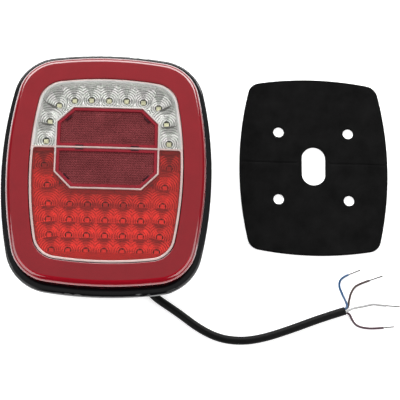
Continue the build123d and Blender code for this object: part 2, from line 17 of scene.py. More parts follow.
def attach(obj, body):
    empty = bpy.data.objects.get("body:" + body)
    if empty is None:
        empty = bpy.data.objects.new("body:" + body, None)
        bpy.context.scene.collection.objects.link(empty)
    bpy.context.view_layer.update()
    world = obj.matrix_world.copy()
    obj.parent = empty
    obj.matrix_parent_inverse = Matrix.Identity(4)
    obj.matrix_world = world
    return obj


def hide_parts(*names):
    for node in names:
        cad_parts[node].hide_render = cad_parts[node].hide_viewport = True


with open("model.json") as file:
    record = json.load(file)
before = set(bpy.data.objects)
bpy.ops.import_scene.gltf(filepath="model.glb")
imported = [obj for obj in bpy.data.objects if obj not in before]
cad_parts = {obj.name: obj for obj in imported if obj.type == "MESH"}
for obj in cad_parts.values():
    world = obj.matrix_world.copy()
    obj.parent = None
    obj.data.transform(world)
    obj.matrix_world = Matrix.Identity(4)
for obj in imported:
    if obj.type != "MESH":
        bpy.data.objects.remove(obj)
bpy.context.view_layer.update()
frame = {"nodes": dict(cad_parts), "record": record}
MM = 0.001

# Heights
TABLE_Z = -22.0
BOARD_TOP_Z = 29.2
LENS_BOTTOM_Z = 26.0
RING_TOP_Z = 48.0
WINDOW_TOP_Z = 47.0
FRAME_TOP_Z = 47.5
CROWN_RADIUS = 1500.0

# Outlines: (width, height), (side radius, end radius, corner radius)
LENS = ((188.0, 225.0), (374.0, 372.0, 39.0))
WINDOW = ((144.4, 180.4), (360.0, 330.0, 24.0))
WINDOW_Y = -1.1
GASKET = ((148.5, 183.5), (345.0, 310.0, 13.0))

# Reflector field
REFLEX_HALF_WIDTH = 48.4
REFLEX_TOP_Y = 60.2
REFLEX_BOTTOM_Y = -20.5
REFLEX_CUT = 15.5
DIVIDER_Y = 19.5
FRAME_LINE = 2.4
REFLEX_LINE = 1.8

# Lights
ARCH_TOP_LIGHT = (0.0, 71.9)
ARCH_SIDE_LIGHTS = [(16.8, 71.9), (33.0, 71.0), (47.7, 65.5), (55.7, 49.1), (58.5, 29.5)]
FIELD_SIDE_LIGHTS = [(59.1, 5.3), (55.5, -14.2)]
FIELD_ROWS = [(-32.4, 53.7), (-47.5, 53.0), (-62.5, 51.5), (-77.2, 49.0)]
FIELD_COLUMNS = [0.0, 16.8, 33.5]

# Frame lines, lens edge and reflector details
FRAME_DEPTH = 4.5
CORNER_FILL = 3.0
DIVIDER_SPANS = [(-70.6, -48.4), (-48.4, 48.4), (48.4, 70.6)]
GROOVE = 0.4
EDGE_ROUND = 5.0
EDGE_STEPS = 12
LOWER_EDGE_Y = -85.0
LENS_WALL = 3.0
LAMP_REACH = 200.0
REFLEX_BORDER = 2.8
REFLEX_THICKNESS = 4.0
LATCH_HALF_WIDTH = 0.7
LATCH_HALF_LENGTH = 3.9
CORNER_LATCHES = [(36.9, 48.2, -45.0), (37.2, -9.4, 45.0)]
DIVIDER_LATCHES = [(26.1, DIVIDER_Y + 1.8, 0.0), (26.1, DIVIDER_Y - 1.9, 0.0)]
PRISM_PITCH = 2.35
PRISM_DEPTH = 1.05
SQUARE = [(-1, -1), (1, -1), (1, 1), (-1, 1)]

# Stepped bowls behind the lens
LEDGE = 3.4
BOWL_LOW_Z = 31.9
BOWL_CURVE = 0.022
LEDGE_Z = 36.2
LEDGE_FOOT = 1.6
LEDGE_HALF_WIDTH = 6.0
SHELF_Z = 43.4
STEP_PITCH = 2.1
FACET_SLOPE = 0.55
FACET_LIFT = 0.3
RISER_WIDTH = 0.9
LIP = 0.35
RAYS = 120
NEIGHBOUR_REACH = 26.0
SAME_COLUMN = 10.0
SAME_ROW = 8.0
ARCH_MOUTH = 3.5
ARCH_WIDEST = 24.0
FIELD_MOUTH = 3.4
FIELD_WIDEST = 15.0
LED_SIZE = 5.0
LED_HEIGHT = 1.6
LED_CORNER = 0.7

# Gasket and studs
GASKET_CENTRE = (204.0, 28.2)
GASKET_THICKNESS = 3.0
GASKET_HOLE_RADIUS = 5.25
GASKET_SLOT = (23.6, 39.6)
GASKET_FOLD_Y = 2.8
STUD_PLACES = [(x, y) for x in (35.0, -35.0) for y in (35.0, -35.0)]
STUD_RADIUS = 3.0
STUD_SHOULDER_RADIUS = 3.5
STUD_HEAD_Z = 5.0
STUD_HEAD_HEIGHT = 4.0
STUD_FLATS = 10.0
THREAD_PITCH = 1.0
THREAD_DEPTH = 0.45

# Cable and cores: the same route points as the CAD tubes
CABLE_RADIUS = 4.0
CABLE_Z = TABLE_Z + CABLE_RADIUS
CORE_RADIUS = 1.1
CORE_Z = TABLE_Z + CORE_RADIUS
CABLE_ROUTE = [
    (4.76, -8.17, -4.98),
    (8.6, -17.9, -11.8),
    (16.1, -36.5, CABLE_Z),
    (27.0, -64.0, CABLE_Z),
    (32.2, -84.0, CABLE_Z),
    (43.0, -105.5, CABLE_Z),
    (71.0, -123.4, CABLE_Z),
    (92.0, -139.0, CABLE_Z),
    (112.0, -148.2, CABLE_Z),
    (134.0, -150.2, CABLE_Z),
    (156.0, -146.0, CABLE_Z),
    (184.0, -136.0, CABLE_Z),
    (209.0, -126.0, CABLE_Z),
    (232.5, -118.2, CABLE_Z),
]
CORE_ROUTES = {
    "blue": [
        (232.01, -116.73, -16.45),
        (235.0, -115.2, -16.9),
        (233.8, -108.9, -18.4),
        (230.4, -100.8, CORE_Z),
        (227.2, -91.8, CORE_Z),
        (230.2, -84.6, CORE_Z),
        (237.0, -81.7, CORE_Z),
    ],
    "brown": [
        (232.01, -116.73, -19.55),
        (236.2, -114.8, -20.0),
        (237.0, -108.4, CORE_Z),
        (238.9, -100.2, CORE_Z),
        (242.9, -93.4, CORE_Z),
        (250.2, -89.6, CORE_Z),
        (257.6, -86.9, CORE_Z),
    ],
    "white": [
        (232.99, -119.67, -16.45),
        (239.0, -116.0, -17.6),
        (246.6, -113.9, -20.0),
        (254.6, -111.9, CORE_Z),
        (261.2, -110.2, CORE_Z),
        (267.2, -111.2, CORE_Z),
        (272.9, -111.5, CORE_Z),
    ],
    "violet": [
        (232.99, -119.67, -19.55),
        (236.8, -119.4, -20.2),
        (239.6, -126.2, CORE_Z),
        (243.8, -131.8, CORE_Z),
        (251.0, -134.0, CORE_Z),
        (260.8, -134.4, CORE_Z),
        (270.2, -133.3, CORE_Z),
    ],
}
CORE_TIP_ENDS = {
    "blue": (248.9, -76.4),
    "brown": (270.8, -82.2),
    "white": (286.8, -112.3),
    "violet": (280.7, -131.5),
}
STRAND_RADIUS = 0.2
STRAND_LAY = 0.39
STRAND_TURN = 9.0

# The clear panels' shine
PANE_GLOSS = 0.1
PANE_ROUGHNESS = 0.03


# ---------------------------------------------------------------- mesh helpers


def crown_drop(x, y):
    """How far the lens's crown falls away at a place, in millimetres."""
    return CROWN_RADIUS - np.sqrt(CROWN_RADIUS**2 - np.square(x) - np.square(y))


def barrel(shape, inset=0.0, steps=(16, 14, 16)):
    """Points round a rectangle with bulging sides and ends, drawn inwards by inset."""
    (width, height), radii = shape
    side, end, corner = [radius - inset for radius in radii]
    side_x = width / 2 - radii[0]
    end_y = height / 2 - radii[1]
    reach_side = side - corner
    reach_end = end - corner
    gap = Vector((-side_x, end_y))
    distance = gap.length
    share = (reach_side**2 - reach_end**2 + distance**2) / (2 * distance)
    rise = math.sqrt(reach_side**2 - share**2)
    way = gap / distance
    centre = Vector((side_x, 0)) + way * share + Vector((-way.y, way.x)) * rise
    if centre.x < 0 or centre.y < 0:
        centre = Vector((side_x, 0)) + way * share - Vector((-way.y, way.x)) * rise
    from_side = math.atan2(centre.y, centre.x - side_x)
    from_end = math.atan2(centre.y - end_y, centre.x)
    arcs = [
        ((side_x, 0), side, 0.0, from_side, steps[0]),
        (centre, corner, from_side, from_end, steps[1]),
        ((0, end_y), end, from_end, math.pi / 2, steps[2]),
    ]
    quarter = []
    for (x, y), radius, start, stop, count in arcs:
        for step in range(count):
            angle = start + (stop - start) * step / count
            quarter.append((x + radius * math.cos(angle), y + radius * math.sin(angle)))
    quarter.append((0.0, end_y + end))
    right = np.array(quarter)
    left = right[-2:0:-1] * (-1, 1)
    upper = np.vstack([right, left])
    lower = np.vstack([[(-right[0][0], 0.0)], -upper[1:], [(right[0][0], 0.0)]])[:-1]
    return np.vstack([upper, lower])


def window(inset):
    """Points round the window in the lens, drawn inwards by inset."""
    return barrel(WINDOW, inset) + (0.0, WINDOW_Y)


def octagon(inset):
    """Points round the eight-sided reflector field, drawn inwards by inset."""
    per_edge = 6
    half_width = REFLEX_HALF_WIDTH - inset
    top = REFLEX_TOP_Y - inset
    bottom = REFLEX_BOTTOM_Y + inset
    cut = REFLEX_CUT - inset * (2 - math.sqrt(2))
    right = [
        (half_width - cut, bottom),
        (half_width, bottom + cut),
        (half_width, top - cut),
        (half_width - cut, top),
    ]
    corners = right + [(-x, y) for x, y in reversed(right)]
    points = []
    for (x1, y1), (x2, y2) in zip(corners, corners[1:] + corners[:1]):
        for step in range(per_edge):
            share = step / per_edge
            points.append((x1 + (x2 - x1) * share, y1 + (y2 - y1) * share))
    return np.array(points)


def ring(points, z, crowned=True):
    """A loop of outline points at a height, following the crown unless told not to."""
    drop = crown_drop(points[:, 0], points[:, 1]) if crowned else np.zeros(len(points))
    return np.column_stack([points, z - drop])


def grid_faces(rows, columns, first=0, close_rows=False, close_columns=True):
    """Quads between rows of points, all in one block that starts at vertex first."""
    faces = []
    for row in range(rows if close_rows else rows - 1):
        here = first + row * columns
        there = first + (row + 1) % rows * columns
        for column in range(columns if close_columns else columns - 1):
            following = (column + 1) % columns
            faces.append((here + column, here + following, there + following, there + column))
    return faces


def circle(radius, count):
    """Points round a circle."""
    angles = np.linspace(0, 2 * math.pi, count, endpoint=False)
    return np.column_stack([radius * np.cos(angles), radius * np.sin(angles)])


def stadium(half_width, half_length, count=24):
    """Points round a slot with round ends, longer in Y."""
    points = circle(half_width, 2 * count)
    lift = half_length - half_width
    return points + np.column_stack([np.zeros(2 * count), np.where(points[:, 1] >= 0, lift, -lift)])


def rounded_square(half, corner):
    """Points round a square with rounded corners."""
    count = 5
    points = []
    for quarter in range(4):
        middle = math.radians(90 * quarter + 45)
        centre_x = math.copysign(half - corner, math.cos(middle))
        centre_y = math.copysign(half - corner, math.sin(middle))
        for step in range(count):
            angle = math.radians(90 * quarter + 90 * step / (count - 1))
            x = centre_x + corner * math.cos(angle)
            y = centre_y + corner * math.sin(angle)
            points.append((x, y))
    return points


def contains(outline, places):
    """Which places are inside a closed outline."""
    inside = np.zeros(len(places), dtype=bool)
    for (x1, y1), (x2, y2) in zip(outline, np.roll(outline, -1, axis=0)):
        spans = (y1 > places[:, 1]) != (y2 > places[:, 1])
        rise = y2 - y1 if y2 != y1 else 1.0
        meet = (x2 - x1) * (places[:, 1] - y1) / rise + x1
        inside ^= spans & (places[:, 0] < meet)
    return inside


def distance_to(outline, places):
    """Distance from each place to an outline's nearest edge."""
    nearest = np.full(len(places), np.inf)
    for start, stop in zip(outline, np.roll(outline, -1, axis=0)):
        way = stop - start
        share = np.clip((places - start) @ way / max(way @ way, 1e-12), 0, 1)
        foot = start + share[:, None] * way
        nearest = np.minimum(nearest, np.hypot(*(places - foot).T))
    return nearest


def clip_band(outline, low, high):
    """The part of an outline between two heights in Y, its points pushed onto the cut."""
    clipped = outline.copy()
    for y, keep_above in ((low, True), (high, False)):
        kept = []
        for here, there in zip(clipped, np.roll(clipped, -1, axis=0)):
            here_in = here[1] >= y if keep_above else here[1] <= y
            there_in = there[1] >= y if keep_above else there[1] <= y
            if here_in:
                kept.append(here)
            if here_in != there_in:
                share = (y - here[1]) / (there[1] - here[1])
                kept.append(here + (there - here) * share)
        clipped = np.array(kept)
    return evenly(clipped)


def evenly(outline):
    """The same outline with its corners kept and a fixed number of points."""
    count = 120
    edges = np.roll(outline, -1, axis=0) - outline
    lengths = np.hypot(*edges.T)
    whole = lengths.sum()
    places = np.concatenate([[0], np.cumsum(lengths)])
    wanted = np.linspace(0, whole, count, endpoint=False)
    for corner in places[:-1]:
        wanted[np.argmin(np.abs(wanted - corner))] = corner
    index = np.clip(np.searchsorted(places, wanted, side="right") - 1, 0, len(outline) - 1)
    share = (wanted - places[index]) / np.maximum(lengths[index], 1e-9)
    return outline[index] + edges[index] * share[:, None]


def pulled_in(outline, amount):
    """The outline moved inwards a little, towards its middle."""
    middle = (outline.min(axis=0) + outline.max(axis=0)) / 2
    half = (outline.max(axis=0) - outline.min(axis=0)) / 2
    return middle + (outline - middle) * (1 - amount / half)


def make_piece(name, points, faces, material, smooth_angle=35.0, slots=None):
    """A mesh piece from points in millimetres."""
    mesh = bpy.data.meshes.new(name)
    mesh.from_pydata((np.asarray(points) * MM).tolist(), [], faces)
    if slots is not None:
        mesh.polygons.foreach_set("material_index", slots)
    tidy = bmesh.new()
    tidy.from_mesh(mesh)
    bmesh.ops.remove_doubles(tidy, verts=tidy.verts, dist=0.002 * MM)
    bmesh.ops.dissolve_degenerate(tidy, dist=0.001 * MM, edges=tidy.edges)
    bmesh.ops.recalc_face_normals(tidy, faces=tidy.faces)
    tidy.to_mesh(mesh)
    tidy.free()
    for each in material if isinstance(material, list) else [material]:
        mesh.materials.append(each)
    piece = bpy.data.objects.new(name, mesh)
    bpy.context.scene.collection.objects.link(piece)
    mesh.shade_smooth()
    mesh.set_sharp_from_angle(angle=math.radians(smooth_angle))
    return piece


def lofted(name, rings, material, **options):
    """A closed skin through loops of points, the last loop joined to the first."""
    points = np.vstack(rings)
    faces = grid_faces(len(rings), len(rings[0]), close_rows=True)
    return make_piece(name, points, faces, material, **options)


def ride(piece, body, slot, *nodes):
    """The piece moves with a body and stands for CAD nodes, which are hidden. The slot is not used.
    """
    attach(piece, body)
    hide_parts(*nodes)
    return piece


# ---------------------------------------------------------------- materials

def new_material(name):
    """An empty material, its tree and its output."""
    material = bpy.data.materials.new(name)
    material.use_nodes = True
    tree = material.node_tree
    tree.nodes.clear()
    output = tree.nodes.new("ShaderNodeOutputMaterial")
    return material, tree, output


def noise(tree, scale, detail=4.0):
    """Noise in the object's own space, scale in features per metre."""
    place = tree.nodes.new("ShaderNodeTexCoord")
    texture = tree.nodes.new("ShaderNodeTexNoise")
    texture.inputs["Scale"].default_value = scale
    texture.inputs["Detail"].default_value = detail
    texture.inputs["Roughness"].default_value = 0.6
    tree.links.new(place.outputs["Object"], texture.inputs["Vector"])
    return texture.outputs["Fac"]


def ramp(tree, value, stops):
    """A colour ramp on a value; stops are (place, colour)."""
    node = tree.nodes.new("ShaderNodeValToRGB")
    while len(node.color_ramp.elements) < len(stops):
        node.color_ramp.elements.new(0.5)
    for element, (place, colour) in zip(node.color_ramp.elements, stops):
        element.position = place
        element.color = (*colour, 1.0)
    tree.links.new(value, node.inputs["Fac"])
    return node.outputs["Color"]


def spread(tree, value, low, high):
    """A value from 0 to 1 spread between low and high."""
    node = tree.nodes.new("ShaderNodeMapRange")
    node.inputs["To Min"].default_value = low
    node.inputs["To Max"].default_value = high
    tree.links.new(value, node.inputs["Value"])
    return node.outputs["Result"]


def bump(tree, value, depth_mm):
    """A bump from a value, its full depth in millimetres."""
    node = tree.nodes.new("ShaderNodeBump")
    node.inputs["Strength"].default_value = 1.0
    node.inputs["Distance"].default_value = depth_mm * MM
    tree.links.new(value, node.inputs["Height"])
    return node.outputs["Normal"]


def plastic(
    name,
    colour,
    second=None,
    patches=60.0,
    vary=0.12,
    roughness=(0.35, 0.5),
    grain=900.0,
    grain_mm=0.02,
    metallic=0.0,
    coat=0.0,
    specular=0.5,
):
    """Moulded or coated surface: one mottled colour, or two in patches, and a fine grain."""
    material, tree, output = new_material(name)
    shader = tree.nodes.new("ShaderNodeBsdfPrincipled")
    broad = noise(tree, patches)
    fine = noise(tree, grain, detail=2.0)
    dark = tuple(channel * (1 - vary) for channel in colour)
    light = tuple(min(1.0, channel * (1 + vary)) for channel in colour)
    if second:
        dark, light = colour, second
    tree.links.new(ramp(tree, broad, [(0.3, dark), (0.7, light)]), shader.inputs["Base Color"])
    tree.links.new(spread(tree, broad, *roughness), shader.inputs["Roughness"])
    tree.links.new(bump(tree, fine, grain_mm), shader.inputs["Normal"])
    shader.inputs["Metallic"].default_value = metallic
    shader.inputs["Coat Weight"].default_value = coat
    shader.inputs["Coat Roughness"].default_value = 0.05
    shader.inputs["Specular IOR Level"].default_value = specular
    tree.links.new(shader.outputs[0], output.inputs["Surface"])
    return material


def lens_pane(name, tint):
    """Transparent plastic: tinted, and mirror-like by its angle, the same from both sides."""
    material, tree, output = new_material(name)
    through = tree.nodes.new("ShaderNodeBsdfTransparent")
    through.inputs["Color"].default_value = (*tint, 1.0)
    gloss = tree.nodes.new("ShaderNodeBsdfGlossy")
    gloss.inputs["Roughness"].default_value = PANE_ROUGHNESS
    wave = bump(tree, noise(tree, 40.0, detail=1.0), 0.02)
    tree.links.new(wave, gloss.inputs["Normal"])
    facing = tree.nodes.new("ShaderNodeLayerWeight")
    grazing = tree.nodes.new("ShaderNodeMath")
    grazing.operation = "POWER"
    grazing.inputs[1].default_value = 5.0
    tree.links.new(facing.outputs["Facing"], grazing.inputs[0])
    mix = tree.nodes.new("ShaderNodeMixShader")
    tree.links.new(spread(tree, grazing.outputs[0], PANE_GLOSS, 1.0), mix.inputs[0])
    tree.links.new(through.outputs[0], mix.inputs[1])
    tree.links.new(gloss.outputs[0], mix.inputs[2])
    tree.links.new(mix.outputs[0], output.inputs["Surface"])
    return material


PLASTICS = {
    "housing_plastic": dict(colour=(0.005, 0.005, 0.006), roughness=(0.08, 0.15), grain_mm=0.008),
    "zinc_steel": dict(colour=(0.70, 0.69, 0.66), metallic=1.0, roughness=(0.25, 0.4)),
    "seal_rubber": dict(colour=(0.02, 0.02, 0.02), roughness=(0.6, 0.8)),
    "vent_plastic": dict(colour=(0.03, 0.03, 0.03)),
    "red_lens": dict(
        colour=(0.195, 0.005, 0.010),
        vary=0.06,
        coat=1.0,
        roughness=(0.06, 0.10),
        grain=30.0,
        grain_mm=0.01,
    ),
    # Painted light: a brighter, deeper red on the lens's lower rounded edge, for light seen through
    # that edge.
    "red_lens_edge_painted_light": dict(
        colour=(0.28, 0.002, 0.010), vary=0.06, coat=1.0, roughness=(0.06, 0.10), grain_mm=0.005
    ),
    "lens_skirt": dict(colour=(0.02, 0.002, 0.003), roughness=(0.1, 0.15), grain_mm=0.01),
    "frame_clear": dict(colour=(0.48, 0.36, 0.34), roughness=(0.15, 0.25), grain_mm=0.01),
    "frame_shoulder": dict(colour=(0.47, 0.47, 0.46), roughness=(0.12, 0.2), grain_mm=0.01),
    "reflex_border": dict(colour=(0.205, 0.011, 0.020), roughness=(0.08, 0.15)),
    "reflex_red": dict(
        colour=(0.155, 0.032, 0.036), vary=0.18, roughness=(0.2, 0.3), specular=0.35
    ),
    # Painted shade: the dark of the latch pockets' recesses and of the groove along the window's
    # frame line below the divider.
    "painted_shade_red": dict(colour=(0.03, 0.004, 0.008), roughness=(0.6, 0.7), specular=0.1),
    "carrier_plastic": dict(colour=(0.05, 0.01, 0.01)),
    "metallised": dict(
        colour=(0.80, 0.87, 0.81),
        second=(0.89, 0.82, 0.87),
        patches=260.0,
        metallic=0.25,
        roughness=(0.08, 0.14),
    ),
    "field_metal": dict(colour=(0.90, 0.88, 0.85), vary=0.05, metallic=0.2, roughness=(0.1, 0.16)),
    # Painted shade: darker copies of the bowl metal on the step risers, so each ring shows a dark
    # band all round.
    "painted_shade_riser": dict(colour=(0.36, 0.37, 0.36), metallic=0.25, roughness=(0.1, 0.16)),
    "field_painted_shade_riser": dict(colour=(0.50, 0.47, 0.45), metallic=0.2, roughness=(0.1, 0.16)),
    "field_shelf": dict(colour=(0.50, 0.26, 0.26), roughness=(0.1, 0.2), grain_mm=0.005),
    # Painted shade: darker copies of the bowl metal for the lights' mouth walls and for the walls
    # up to the ledges between cells.
    "mouth_wall_painted_shade": dict(colour=(0.10, 0.105, 0.075), roughness=(0.2, 0.3)),
    "ledge_wall_painted_shade": dict(colour=(0.15, 0.15, 0.14), roughness=(0.2, 0.3)),
    "field_mouth_painted_shade": dict(colour=(0.62, 0.54, 0.52), roughness=(0.2, 0.3)),
    "field_ledge_painted_shade": dict(colour=(0.45, 0.38, 0.37), roughness=(0.2, 0.3)),
    # Painted light: near-white on the frame lines' inner walls by the arch, to lift the shade those
    # walls stand in.
    "frame_wall_painted_light": dict(colour=(0.86, 0.87, 0.85), roughness=(0.15, 0.25), grain_mm=0.01),
    "diffuser": dict(colour=(0.80, 0.74, 0.72), roughness=(0.3, 0.4)),
    "board": dict(colour=(0.010, 0.022, 0.014), roughness=(0.3, 0.45)),
    "led_body": dict(colour=(0.05, 0.05, 0.045), roughness=(0.4, 0.5)),
    "led_white": dict(colour=(0.86, 0.84, 0.56), roughness=(0.3, 0.4)),
    "led_red": dict(colour=(0.95, 0.86, 0.84), roughness=(0.15, 0.25)),
    "component_black": dict(colour=(0.02, 0.02, 0.02)),
    "can_aluminium": dict(colour=(0.75, 0.75, 0.76), metallic=1.0),
    "terminal_plastic": dict(colour=(0.70, 0.70, 0.64)),
    "nylon": dict(colour=(0.03, 0.03, 0.03)),
    "cable_black": dict(colour=(0.003, 0.003, 0.003), roughness=(0.4, 0.55), specular=0.12),
    "core_blue": dict(colour=(0.003, 0.055, 0.15), roughness=(0.3, 0.4)),
    "core_brown": dict(colour=(0.035, 0.013, 0.011), roughness=(0.3, 0.4)),
    "core_white": dict(colour=(0.36, 0.36, 0.36), roughness=(0.3, 0.4)),
    "core_violet": dict(colour=(0.055, 0.02, 0.032), roughness=(0.3, 0.4)),
    "tinned_copper": dict(colour=(0.07, 0.07, 0.068), metallic=1.0, roughness=(0.3, 0.4)),
    "foam": dict(
        colour=(0.005, 0.005, 0.005),
        vary=0.35,
        roughness=(0.85, 0.95),
        grain=1300,
        grain_mm=0.25,
        specular=0.04,
    ),
}
MATERIALS = {name: plastic(name, **look) for name, look in PLASTICS.items()}
MATERIALS["field_red_lens"] = lens_pane("field_red_lens", (0.93, 0.40, 0.36))
MATERIALS["clear_lens"] = lens_pane("clear_lens", (0.96, 0.96, 0.95))


def dress_cad_nodes():
    """Every CAD node takes the material of its slot."""
    slots = {row["node"]: row["material_slot"] for row in frame["record"]["subparts"]}
    for name, node in frame["nodes"].items():
        node.data.materials.clear()
        node.data.materials.append(MATERIALS[slots[name]])


# ---------------------------------------------------------------- lens


def ring_lens():
    """Glossy red ring with a rounded outer edge, a soft inner edge and its skirt."""
    rings = [ring(barrel(LENS, 0.6), LENS_BOTTOM_Z, crowned=False)]
    rings.append(ring(barrel(LENS), LENS_BOTTOM_Z + 0.6, crowned=False))
    for step in range(EDGE_STEPS + 1):
        angle = math.radians(90 * step / EDGE_STEPS)
        inset = EDGE_ROUND * (1 - math.cos(angle))
        rings.append(ring(barrel(LENS, inset), RING_TOP_Z - EDGE_ROUND * (1 - math.sin(angle))))
    outer = barrel(LENS, EDGE_ROUND)
    inner = window(-GROOVE - 0.6)
    for step in range(1, 9):
        share = step / 8
        rings.append(ring(outer + (inner - outer) * share, RING_TOP_Z))
    rings.append(ring(window(-GROOVE - 0.25), RING_TOP_Z - 0.2))
    rings.append(ring(window(-GROOVE), RING_TOP_Z - 0.8))
    rings.append(ring(window(-GROOVE), RING_TOP_Z - LENS_WALL))
    rings.append(ring(barrel(LENS, LENS_WALL + 1), RING_TOP_Z - LENS_WALL))
    rings.append(ring(barrel(LENS, LENS_WALL), RING_TOP_Z - LENS_WALL - 1))
    rings.append(ring(barrel(LENS, LENS_WALL), LENS_BOTTOM_Z, crowned=False))
    count = len(rings[0])
    slots = []
    for index in range(len(rings) * count):
        row, column = divmod(index, count)
        # The lower rounded edge is painted light: a brighter, deeper red for light seen through it.
        edge_painted_light = row < EDGE_STEPS + 2 and rings[1][column][1] < LOWER_EDGE_Y
        slots.append(1 if row < 2 else 2 if edge_painted_light else 0)
    looks = [MATERIALS["red_lens"], MATERIALS["lens_skirt"], MATERIALS["red_lens_edge_painted_light"]]
    piece = lofted("ring_lens_skin", rings, looks, slots=slots)
    return ride(piece, "lamp", "red_lens", "ring_lens")


def trim_lines():
    """Clear frame: one line round the window, one round the reflectors and one across.

    Where a line borders the clear arch, only part of its width is the pale crest, and its inner
    wall is painted near-white: painted light against the shade there. Below the divider, the outer
    edge of the window's line is painted dark: painted shade of the groove beside the ring.
    """
    tall = (FRAME_TOP_Z - FRAME_DEPTH, FRAME_TOP_Z - 0.35, FRAME_TOP_Z, FRAME_TOP_Z - 0.1)
    rim = [(0.0, tall[0]), (0.0, tall[1]), (0.35, tall[2]), (1.3, tall[2])]
    rim += [(FRAME_LINE - 0.35, tall[3]), (FRAME_LINE, tall[1]), (FRAME_LINE, tall[0])]
    half = REFLEX_LINE / 2
    reflex = [(half, tall[0]), (half, tall[1] - 0.4), (half - 0.3, tall[2]), (0.1, tall[2])]
    reflex += [(0.3 - half, tall[3]), (-half, tall[1] - 0.4), (-half, tall[0])]
    points = []
    faces = []
    slots = []
    for outline, profile in ((window, rim), (octagon, reflex)):
        first = len(points)
        loops = [ring(outline(inset), z) for inset, z in profile]
        points += np.vstack(loops).tolist()
        count = len(loops[0])
        made = grid_faces(len(loops), count, first, close_rows=True)
        faces += made
        for index in range(len(made)):
            row, column = divmod(index, count)
            in_arch = loops[row][column][1] > DIVIDER_Y
            if in_arch:
                # In the arch the inner wall and underside are painted light: near-white against the
                # shade they stand in.
                slots.append(0 if row < 3 else 1 if row < 5 else 2)
            else:
                # Below the divider, the window line's outer wall and chamfer are painted dark:
                # painted shade of the groove beside the ring.
                slots.append(3 if row < 2 and outline is window else 0)
    for left, right in DIVIDER_SPANS:
        first = len(points)
        spots = np.linspace(left, right, 24)
        for offset, z in reflex:
            bar = np.column_stack([spots, np.full(len(spots), DIVIDER_Y + offset)])
            points += ring(bar, z).tolist()
        made = grid_faces(len(reflex), len(spots), first, close_rows=True, close_columns=False)
        faces += made
        slots += [0] * len(made)
    for (x, y), radius, start in corner_places():
        first = len(points)
        made, loop = corner_fill(x, y, radius, start)
        points += made
        faces += [tuple(first + index for index in face) for face in loop]
        slots += [0] * len(loop)
    looks = ("frame_clear", "frame_shoulder", "frame_wall_painted_light", "painted_shade_red")
    materials = [MATERIALS[look] for look in looks]
    piece = make_piece("trim_lines", points, faces, materials, slots=slots)
    return ride(piece, "lamp", "frame_clear", "trim_frame")


def corner_places():
    """Corners that the frame rounds: each red side window's two upper ones."""
    low = DIVIDER_Y - REFLEX_LINE / 2 + 0.2
    sides = window(FRAME_LINE - 0.2)
    beside = sides[np.abs(sides[:, 1] - low) < CORNER_FILL * 2]
    outer_x = np.abs(beside[:, 0]).max()
    inner_x = REFLEX_HALF_WIDTH + REFLEX_LINE / 2 - 0.2
    places = [((outer_x, low), CORNER_FILL, 0), ((-outer_x, low), CORNER_FILL, 90)]
    places += [((inner_x, low), CORNER_FILL * 0.6, 90), ((-inner_x, low), CORNER_FILL * 0.6, 0)]
    return places


def corner_fill(x, y, radius, start):
    """Points and faces of a fillet between two frame lines that meet at a corner."""
    side = 1 if start == 0 else -1
    centre = (x - side * radius, y - radius)
    flat = [(x, y)]
    for step in range(9):
        angle = math.radians(start + 90 * step / 8)
        flat.append((centre[0] + radius * math.cos(angle), centre[1] + radius * math.sin(angle)))
    top = FRAME_TOP_Z - 0.1 - crown_drop(x, y)
    points = [(px, py, z) for z in (top, top - FRAME_DEPTH) for px, py in flat]
    count = len(flat)
    faces = [(0, index, index + 1) for index in range(1, count - 1)]
    faces += [(index, index + 1, index + 1 + count, index + count) for index in range(1, count - 1)]
    return points, faces


def latch_pockets():
    """Latch pockets of the reflectors, in the slanted corners and beside the divider, painted dark:
    painted shade of their recesses.
    """
    points = []
    faces = []
    for x, y, turn in CORNER_LATCHES + DIVIDER_LATCHES:
        for side in (1, -1):
            angle = math.radians(90 + side * turn)
            first = len(points)
            for shrink, height in ((0.0, -0.45), (0.0, -0.26), (0.15, -0.2)):
                loop = stadium(LATCH_HALF_WIDTH - shrink, LATCH_HALF_LENGTH - shrink, 8)
                along_x = loop[:, 0] * math.cos(angle) - loop[:, 1] * math.sin(angle) + side * x
                along_y = loop[:, 0] * math.sin(angle) + loop[:, 1] * math.cos(angle) + y
                points += ring(np.column_stack([along_x, along_y]), WINDOW_TOP_Z + height).tolist()
            faces += grid_faces(3, len(loop), first)
            last = first + 2 * len(loop)
            faces.append(tuple(range(last, last + len(loop))))
    piece = make_piece("reflector_latch_pockets", points, faces, MATERIALS["painted_shade_red"])
    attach(piece, "lamp")


def reflex_half(name, upper):
    """One reflex reflector: a plain border round a field of small prisms."""
    line = REFLEX_LINE / 2
    low = DIVIDER_Y + line if upper else -LAMP_REACH
    high = LAMP_REACH if upper else DIVIDER_Y - line
    face = clip_band(octagon(line), low, high)
    field = clip_band(octagon(line + REFLEX_BORDER), low + REFLEX_BORDER, high - REFLEX_BORDER)
    rings = [
        ring(face, WINDOW_TOP_Z - REFLEX_THICKNESS),
        ring(face, WINDOW_TOP_Z - 0.7),
        ring(pulled_in(face, 0.4), WINDOW_TOP_Z - 0.3),
        ring(field, WINDOW_TOP_Z - 0.3),
        ring(pulled_in(field, 0.4), WINDOW_TOP_Z - 0.8),
        ring(pulled_in(field, 0.4), WINDOW_TOP_Z - REFLEX_THICKNESS),
    ]
    border = lofted(name + "_border", rings, MATERIALS["reflex_border"])
    ride(border, "lamp", "reflex_red", name)
    prisms = prism_field(name + "_prisms", field)
    ride(prisms, "lamp", "reflex_red", name)


